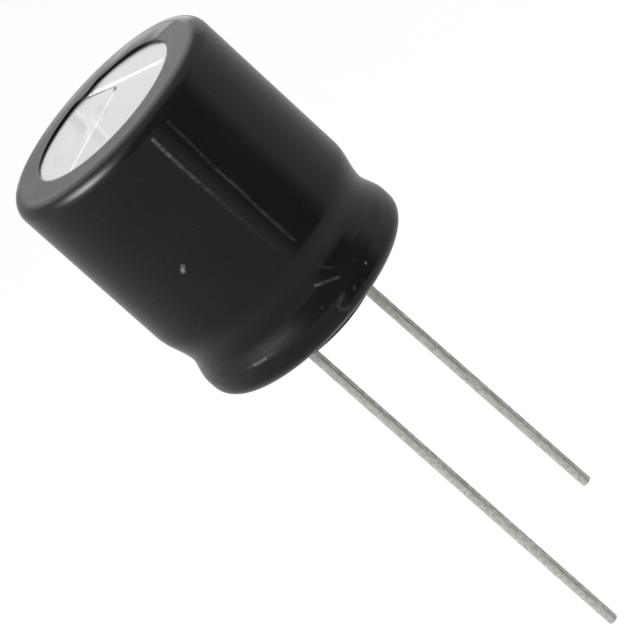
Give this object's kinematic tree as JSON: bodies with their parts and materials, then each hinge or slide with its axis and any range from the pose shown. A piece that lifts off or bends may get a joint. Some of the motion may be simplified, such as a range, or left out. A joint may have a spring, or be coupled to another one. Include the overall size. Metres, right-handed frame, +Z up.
{
  "type": "electrolytic capacitor",
  "caption": "Radial aluminium electrolytic capacitor in a black shrink sleeve, with a scored vent end, a rolled bead and wire leads for a circuit board.",
  "frame": {"origin": "middle of the rubber seating pad's lower face, on the can's axis", "axes": "+Z up the can's axis to the vent end, +X towards the negative lead; the leads run down to -Z"},
  "size_m": [0.0182, 0.0182, 0.0527],
  "materials": {
    "shrink_film": "satin gloss black film",
    "can_aluminium": "bright drawn",
    "bung_rubber": "matt moulded",
    "winding": "damp paper and foil",
    "tape": "clear brown",
    "tab_aluminium": "pressed",
    "tinned_wire": "satin tin plate"
  },
  "bodies": {
    "root": {"sleeve": "shrink_film", "can": "can_aluminium", "bung": "bung_rubber", "wound_element": "winding", "closing_tape": "tape", "positive_tab": "tab_aluminium", "negative_tab": "tab_aluminium", "positive_lead": "tinned_wire", "negative_lead": "tinned_wire"}
  },
  "joints": []
}
